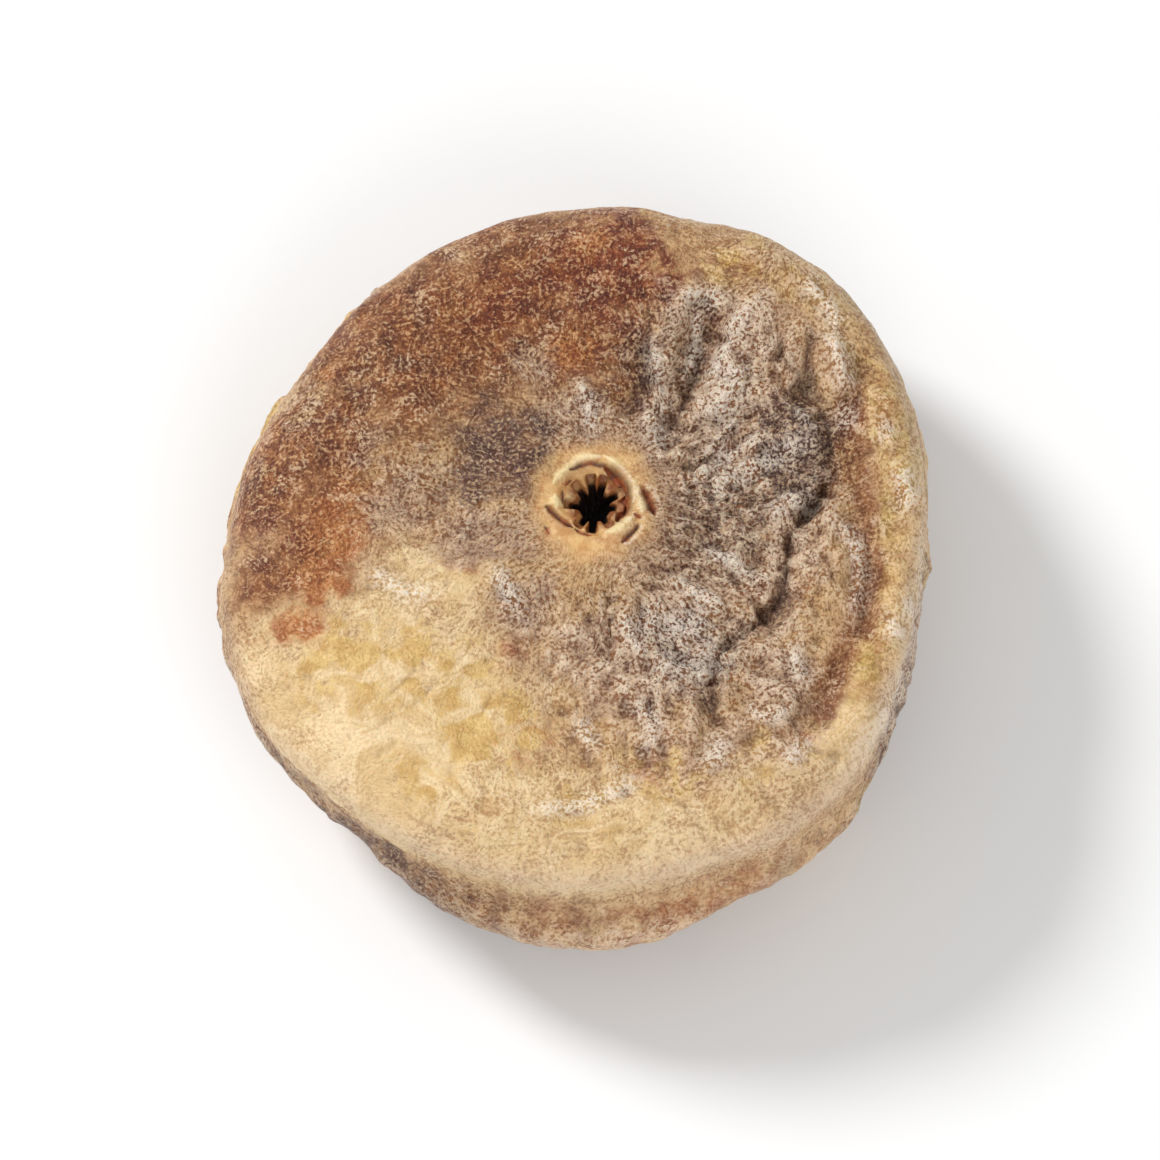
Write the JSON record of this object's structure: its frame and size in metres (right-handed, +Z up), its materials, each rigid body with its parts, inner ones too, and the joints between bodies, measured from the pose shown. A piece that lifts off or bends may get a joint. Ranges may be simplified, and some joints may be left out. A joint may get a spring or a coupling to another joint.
{
  "type": "dried fig",
  "caption": "Whole dried fig, pulled flat into a thick round disc with its eye on top and its stem end underneath.",
  "frame": {"origin": "on the surface it rests on, under the middle of its bounding box", "axes": "+Z up through the face that holds the eye, +X towards the raised edge fold, +Y away from the viewer"},
  "size_m": [0.0464, 0.0496, 0.0165],
  "materials": {
    "skin": "dried fruit skin, tan to ochre with brown and lilac-grey patches, dull, with fine pale sugar crystals"
  },
  "bodies": {
    "root": {"dried_fig": "skin"}
  },
  "joints": []
}
